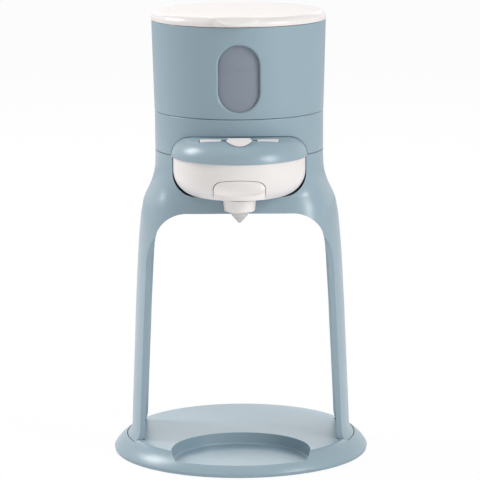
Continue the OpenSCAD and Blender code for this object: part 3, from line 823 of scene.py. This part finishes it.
# ------------------------------------------------------------------ lid
class DISPENSER_OT_lid(bpy.types.Operator):
    """Lid with a soft edge, a sealing plug and a hollowed finger tab"""
    bl_idname = "dispenser.lid"
    bl_label = "Lid"

    def execute(self, context):
        corner = arc(51.4, 282.8, 4.6, 0, 78, 10)
        lid = lathe("lid_shell", [(0, 286.3), (50, 286.0), (50, 283.9), (53.6, 283.7),
                                  (53.6, 281.7), (55.8, 281.7), (56.0, 281.9), (56.0, 282.8)]
                    + corner[1:] + [(49.6, 287.52), (46, 287.75), (40, 287.9), (30, 288.08),
                                    (20, 288.2), (8, 288.29), (0, 288.3)], steps=256)
        plug = lathe("lid_plug", rounded(
            [(45, 273.6, 0.4), (46.8, 273.6, 0.4), (46.8, 277, 0), (46.0, 277, 0),
             (46.0, 279.4, 0), (46.8, 279.4, 0), (46.8, 286.6, 0), (45, 286.6, 0)],
            closed=True, steps=3), steps=256)
        boolean(lid, plug, "UNION")
        # finger tab: a round-nosed lip level with the lid, hollowed in front
        tab = prism("tab", [(-14.5, -45), (-14.5, -64), (12.1, -64), (12.1, -45)],
                    "z", 282.7, 287.5)
        nose = drum("nose", 18.6, 280, 295, middle=(TAB_MIDDLE, -43), steps=192)
        boolean(tab, nose, "INTERSECT")
        boolean(tab, drum("tab_root", 50.5, 270, 300, steps=192))
        boolean(lid, tab, "UNION")
        nothing_selected()
        bpy.ops.mesh.primitive_torus_add(
            location=(TAB_MIDDLE * MM, -60 * MM, 318.4 * MM), rotation=(math.radians(90), 0, 0),
            major_radius=23 * MM, minor_radius=12 * MM, major_segments=288, minor_segments=96)
        boolean(lid, settled(bpy.context.object))
        round_edges(lid, 0.5 * MM, 3, 34)
        finished(lid, 34, "white", "lid", "lid")
        dressed("lid_seal", "silicone")
        return {"FINISHED"}


# ------------------------------------------------------------------ dosing unit
def bowl_side(inset, top, corner=BOWL_CORNER):
    """Half outline of the bowl in mm, from the axis to its edge."""
    low = sizes().bowl_low / MM
    return ([(0, low + inset)]
            + arc(BOWL_REACH - corner, low + corner, corner - inset, 270, 360, 16)
            + [(BOWL_REACH - inset, top)])


def pull_front(gap=0.0):
    """Front outline of the drawer's pull in mm: straight sides, an arched top."""
    half, top, corner, arch = 16.1 + gap, PULL_TOP + gap, 5.4, 75.0 + gap
    low = top - arch
    corner_z = low + math.sqrt((arch - corner) ** 2 - (half - corner) ** 2)
    turn = math.degrees(math.atan2(corner_z - low, half - corner))
    right = arc(half - corner, corner_z, corner, 0, turn, 10)
    crown = arc(0, low, arch, turn, 180 - turn, 16)
    left = [(-x, z) for x, z in reversed(right)]
    return [(-half, 170), (half, 170)] + right + crown[1:-1] + left


class DISPENSER_OT_bowl(bpy.types.Operator):
    """White dosing bowl, with the way out for the drawer's pull"""
    bl_idname = "dispenser.bowl"
    bl_label = "Dosing bowl"

    def execute(self, context):
        outer = bowl_side(0, 198.4)
        inner = list(reversed(bowl_side(2, 198.4, BOWL_HOLLOW_CORNER)))
        edge = [(41.7, 198.7), (39.9, 198.7)]
        bowl = lathe("bowl_shell", outer + edge + inner, middle=(0, UNIT_Y), steps=256)
        for side in (-1, 1):
            wall = block("guide", (side * 19.2 - 2, -72, 175), (side * 19.2 + 2, 4, 193))
            inside = lathe("inside", bowl_side(1, 193.0) + [(0, 193.0)], middle=(0, UNIT_Y),
                           steps=128)
            boolean(wall, inside, "INTERSECT")
            boolean(bowl, wall, "UNION")
        pad = drum("floor_pad", 26.9, 174.7, 176.4, middle=(0, UNIT_Y), steps=128)
        boolean(bowl, pad, "UNION")
        spigot = drum("spigot", 8.6, 171.7, 174.7, middle=(0, SPOUT_Y), steps=96)
        boolean(bowl, spigot, "UNION")
        front = prism("pull_space", pull_front(0.35), "y", -95, -60)
        floor = block("keep", (-30, -96, 160), (30, -59, 176.6))
        boolean(front, floor)
        boolean(bowl, front)
        boolean(bowl, block("rear_space", (-17.2, -12, 176.6), (17.2, 18, 216)))
        funnel = lathe("funnel", [(0, 170), (7.2, 170), (7.2, 173.5), (12.2, 176.6), (0, 176.6)],
                       middle=(0, SPOUT_Y), steps=96)
        boolean(bowl, funnel)
        round_edges(bowl, 0.3 * MM, 2, 38)
        finished(bowl, 36, "white", "dosing_unit", "dosing_bowl")
        dressed("wiper_plate", "silicone")
        return {"FINISHED"}


class DISPENSER_OT_cap(bpy.types.Operator):
    """Domed cap of the bowl with its arc slot, and the two white strips"""
    bl_idname = "dispenser.cap"
    bl_label = "Cap and strips"

    def execute(self, context):
        outer = cap_side(0.0)
        inner = [(r, z) for r, z in cap_side(-2.0, 201.2) if r < 37.5]
        edge = [(42.9, 199.0), outer[0]]
        cap = lathe("cap_shell", [(37.9, 199.0)] + edge + outer[1:] + list(reversed(inner))
                    + [(37.9, 205.0)], middle=(0, UNIT_Y), steps=256)
        spigot = lathe("spigot", [(37.9, 195.8), (39.5, 195.8), (39.5, 201.0), (37.9, 201.0)],
                       middle=(0, UNIT_Y), steps=192)
        boolean(cap, spigot, "UNION")
        chute = drum("chute", 13.4, 201.2, 211.8, middle=(0, INLET_Y), steps=96)
        boolean(cap, chute, "UNION")
        boolean(cap, lathe("inlet", [(0, 190), (INLET_REACH, 190), (INLET_REACH, 211.6),
                                     (14.8, 215.0), (14.8, 220), (0, 220)],
                           middle=(0, INLET_Y), steps=96))
        slot = lathe("slot", [(61.6, 190), (65.9, 190), (65.9, 230), (61.6, 230)], steps=256)
        boolean(slot, block("ends", (-25, -80, 180), (25, -40, 240)), "INTERSECT")
        boolean(cap, slot)
        boolean(cap, block("shaft_way", (-5.6, -8, 180), (5.6, 22, 240)))
        boolean(cap, block("rail_way", (-17.2, -12, 180), (17.2, 22, 199.1)))
        round_edges(cap, 0.3 * MM, 2, 38)
        finished(cap, 36, "body", "dosing_unit", "bowl_cap")

        strip = lathe("level_strips", [(61.7, 206), (65.8, 206), (65.8, 230), (61.7, 230)],
                      steps=256)
        sides = block("left", (-24.6, -80, 190), (-11.4, -40, 240))
        boolean(sides, block("right", (11.4, -80, 190), (24.6, -40, 240)), "UNION")
        boolean(strip, sides, "INTERSECT")
        boolean(strip, lathe("cap_top", cap_side(0.3, 180) + [(0, 180)], middle=(0, UNIT_Y),
                             steps=192), "INTERSECT")
        round_edges(strip, 0.4 * MM, 3, 38)
        finished(strip, 36, "white", "dosing_unit", "slot_strips", even=False)
        return {"FINISHED"}


class DISPENSER_OT_selector(bpy.types.Operator):
    """Sliding size knob in the slot, with its blade over the pocket"""
    bl_idname = "dispenser.selector"
    bl_label = "Size selector"

    def execute(self, context):
        def cap_solid(name, height, x=0.0):
            raised = [(r, z + height) for r, z in cap_side(0.0, 180)] + [(0, 180)]
            return lathe(name, raised, middle=(x, UNIT_Y), steps=192)

        # half-round plate on the front edge of the cap
        knob = drum("knob", 8.2, 203, 223, middle=(0, -65.2), steps=96)
        boolean(knob, block("front_half", (-9, -76, 200), (9, -66.9, 225)), "INTERSECT")
        boolean(knob, cap_solid("plate_top", 1.3), "INTERSECT")
        # bridge under the groove, then the upright grip
        bridge = block("bridge", (-7, -67.1, 203), (7, -62.2, 223))
        boolean(bridge, cap_solid("bridge_top", 0.9), "INTERSECT")
        boolean(knob, bridge, "UNION")
        boolean(knob, block("grip", (-7, -64.3, 208), (7, -61.6, 213.2)), "UNION")
        for x in (-4, 0, 4):
            boolean(knob, cap_solid("clear_of_cap", 0.45, x))
        round_edges(knob, 0.3 * MM, 3, 34)
        boolean(knob, block("leg", (-6.8, -64.1, 199.6), (6.8, -62.5, 212.4)), "UNION")
        boolean(knob, block("blade", (-14, -64.3, 199.6), (14, -16.3, 200.8)), "UNION")
        boolean(knob, drum("powder_hole", INLET_REACH, 190, 206, middle=(-4, INLET_Y), steps=96))
        finished(knob, 34, "white", "selector", "size_selector", even=False)
        return {"FINISHED"}


class DISPENSER_OT_drawer(bpy.types.Operator):
    """Measuring drawer with its pocket, rail and thumb-hollowed pull"""
    bl_idname = "dispenser.drawer"
    bl_label = "Measuring drawer"

    def execute(self, context):
        pull = prism("drawer_body", pull_front(), "y", -84, -72)
        nose = drum("nose", 25.4, 165, 200, middle=(0, -57.0), steps=256)
        boolean(pull, nose, "INTERSECT")
        boolean(pull, block("under", (-40, -100, 150), (40, 0, DRAWER_LOW)))
        # finger hollow, which sweeps out into a lip below
        nothing_selected()
        bpy.ops.mesh.primitive_torus_add(
            location=(0, UNIT_Y * MM, 186.8 * MM), major_radius=49.4 * MM,
            minor_radius=7.9 * MM, major_segments=360, minor_segments=72)
        boolean(pull, settled(bpy.context.object))
        round_edges(pull, 0.5 * MM, 3, 30)
        neck = block("neck", (-12.5, -74, 178.6), (12.5, -42, 187.0))
        boolean(pull, neck, "UNION")
        body = prism("pocket_block", [(-16.6, -44.4), (16.6, -44.4), (16.6, 6.6), (-16.6, 6.6)],
                     "z", DRAWER_LOW, 193)
        keep = lathe("clear_of_bowl", bowl_side(2.5, 194, BOWL_HOLLOW_CORNER) + [(0, 194)],
                     middle=(0, -12), steps=192)
        rear = block("rear", (-20, -14, 176), (20, 26, 195))
        boolean(keep, rear, "UNION")
        boolean(body, keep, "INTERSECT")
        boolean(pull, body, "UNION")
        boolean(pull, block("rail", (13.95, -1, 191), (16.6, 30, 198)), "UNION")
        boolean(pull, block("rail_foot", (10, 6, 188), (16.6, 30, 193)), "UNION")
        boolean(pull, drum("pocket", 12.2, 170, 200, middle=(0, INLET_Y), steps=128))
        finished(pull, 34, "white", "drawer", "measuring_drawer")
        return {"FINISHED"}


class DISPENSER_OT_spout(bpy.types.Operator):
    """White collar and the grey slit tip of the spout"""
    bl_idname = "dispenser.spout"
    bl_label = "Spout"

    def execute(self, context):
        low = COLLAR_LOW
        collar = lathe("spout_ring", rounded(
            [(6.1, low, 0.3), (9.6, low, 1.4), (10.4, 173.6, 0.25), (8.7, 173.6, 0.2),
             (8.7, 170.7, 0), (6.1, 170.7, 0)], closed=True, steps=6),
            middle=(0, SPOUT_Y), steps=128)
        finished(collar, 36, "white", "dosing_unit", "spout_collar", even=False)
        tip = lathe("slit_tip", rounded(
            [(0, low - 7.5, 0), (0.6, low - 7.5, 0.4), (4.95, low - 2.7, 0.5), (5.8, low, 0.3),
             (5.8, 170.8, 0), (8.4, 170.8, 0), (8.4, 171.5, 0), (4.9, 171.5, 0),
             (4.9, low - 1.5, 0), (4.0, low - 1.5, 0), (0.3, low - 6.3, 0), (0, low - 6.3, 0)],
            steps=4), middle=(0, SPOUT_Y), steps=128)
        boolean(tip, block("slit", (-3, SPOUT_Y - 0.15, 158), (3, SPOUT_Y + 0.15, 161.2)))
        finished(tip, 30, "tip", "dosing_unit", "spout_tip", even=False)
        return {"FINISHED"}


# ------------------------------------------------------------------ stage
def soft_light(name, place, target, width, height, power):
    """A soft box that faces the object."""
    lamp = bpy.data.lights.new(name, "AREA")
    lamp.shape = "RECTANGLE"
    lamp.size = width
    lamp.size_y = height
    lamp.energy = power
    holder = bpy.data.objects.new(name, lamp)
    bpy.context.scene.collection.objects.link(holder)
    holder.location = place
    holder.rotation_euler = (Vector(target) - Vector(place)).to_track_quat("-Z", "Y").to_euler()
    return holder


class DISPENSER_OT_stage(bpy.types.Operator):
    """Pale floor, soft studio lights and the camera"""
    bl_idname = "dispenser.stage"
    bl_label = "Stage"

    def execute(self, context):
        scene = bpy.context.scene
        nothing_selected()
        bpy.ops.mesh.primitive_plane_add(size=12, location=(0, 0, 0))
        floor = bpy.context.object
        floor.name = "floor"
        paper, tree, output, place = new_material("white_paper_sweep")
        fibre = add(tree, "ShaderNodeTexNoise", {"Scale": per_mm(2.0), "Detail": 3.0},
                    {"Vector": place}).outputs["Fac"]
        gloss = add(tree, "ShaderNodeMapRange", {"To Min": 0.75, "To Max": 0.9},
                    {"Value": fibre}).outputs["Result"]
        sheet = add(tree, "ShaderNodeBsdfPrincipled",
                    {"Base Color": tuple(finish_colours().floor), "Specular IOR Level": 0.2},
                    {"Roughness": gloss})
        glow = add(tree, "ShaderNodeEmission", {"Color": (1, 1, 1, 1), "Strength": 1.0})
        rays = add(tree, "ShaderNodeLightPath")
        seen = add(tree, "ShaderNodeMath", {"operation": "ADD", "use_clamp": True},
                   {0: rays.outputs["Is Camera Ray"], 1: rays.outputs["Is Transmission Ray"]})
        part = add(tree, "ShaderNodeMath", {"operation": "MULTIPLY", 1: 0.95},
                   {0: seen.outputs[0]})
        mixed = add(tree, "ShaderNodeMixShader", None,
                    {0: part.outputs[0], 1: sheet.outputs[0], 2: glow.outputs[0]})
        tree.links.new(mixed.outputs[0], output.inputs[0])
        floor.data.materials.append(paper)

        world = bpy.data.worlds.new("studio")
        scene.world = world
        world.use_nodes = True
        tree = world.node_tree
        tree.nodes.clear()
        rays = add(tree, "ShaderNodeLightPath")
        seen = add(tree, "ShaderNodeMath", {"operation": "ADD", "use_clamp": True},
                   {0: rays.outputs["Is Camera Ray"], 1: rays.outputs["Is Glossy Ray"]})
        seen = add(tree, "ShaderNodeMath", {"operation": "ADD", "use_clamp": True},
                   {0: seen.outputs[0], 1: rays.outputs["Is Transmission Ray"]})
        level = add(tree, "ShaderNodeMapRange", {"To Min": 0.43, "To Max": 1.0},
                    {"Value": seen.outputs[0]})
        sky = add(tree, "ShaderNodeBackground", {"Color": (1, 1, 1, 1)},
                  {"Strength": level.outputs[0]})
        add(tree, "ShaderNodeOutputWorld", None, {0: sky.outputs[0]})

        soft_light("key_right", (1.12, -0.84, 0.74), (0, 0, 0.16), 0.50, 0.60, 8.5)
        soft_light("fill_left", (-1.15, 0.30, 1.02), (0, 0, 0.12), 0.50, 0.55, 9.5)
        soft_light("top", (0.0, -0.45, 1.5), (0, 0, 0.1), 1.1, 0.9, 1.6)
        soft_light("back", (0.0, 1.5, 0.95), (0, 0, 0.05), 1.4, 0.6, 6.4)

        lens = bpy.data.cameras.new("camera")
        lens.sensor_fit = "HORIZONTAL"
        lens.sensor_width = 36.0
        lens.lens = 220.29
        lens.shift_x = 0.27 / 480
        lens.shift_y = -3.42 / 480
        lens.clip_end = 50
        camera = bpy.data.objects.new("camera", lens)
        scene.collection.objects.link(camera)
        eye = Vector((0, -1.87258, 0.47320))
        look = (Vector((0, 0, 0.140)) - eye).to_track_quat("-Z", "Y").to_matrix()
        roll = Matrix.Rotation(math.radians(-0.323), 3, "Z")
        camera.matrix_world = Matrix.Translation(eye) @ (look @ roll).to_4x4()
        scene.camera = camera
        scene.view_settings.view_transform = "Standard"
        return {"FINISHED"}


# ------------------------------------------------------------------ panel
PIECES = (DISPENSER_OT_base, DISPENSER_OT_underside, DISPENSER_OT_stand, DISPENSER_OT_head,
          DISPENSER_OT_hopper, DISPENSER_OT_window, DISPENSER_OT_tank, DISPENSER_OT_stirrer,
          DISPENSER_OT_lid, DISPENSER_OT_bowl, DISPENSER_OT_cap, DISPENSER_OT_selector,
          DISPENSER_OT_drawer, DISPENSER_OT_spout, DISPENSER_OT_stage)


class DISPENSER_PT_panel(bpy.types.Panel):
    """Sizes, colours and pieces of the dispenser"""
    bl_idname = "DISPENSER_PT_panel"
    bl_label = "Formula powder dispenser"
    bl_space_type = "VIEW_3D"
    bl_region_type = "UI"
    bl_category = "Dispenser"

    def draw(self, context):
        for group in (context.scene.dispenser_sizes, context.scene.dispenser_finish):
            column = self.layout.column()
            for name in group.__annotations__:
                column.prop(group, name)
        for piece in PIECES:
            self.layout.operator(piece.bl_idname)


CLASSES = (DispenserSizes, DispenserFinish) + PIECES + (DISPENSER_PT_panel,)


def register():
    for item in CLASSES:
        bpy.utils.register_class(item)
    bpy.types.Scene.dispenser_sizes = bpy.props.PointerProperty(type=DispenserSizes)
    bpy.types.Scene.dispenser_finish = bpy.props.PointerProperty(type=DispenserFinish)


def unregister():
    del bpy.types.Scene.dispenser_finish
    del bpy.types.Scene.dispenser_sizes
    for item in reversed(CLASSES):
        bpy.utils.unregister_class(item)


def main():
    register()
    for piece in PIECES:
        group, name = piece.bl_idname.split(".")
        getattr(getattr(bpy.ops, group), name)()


if __name__ == "__main__":
    main()
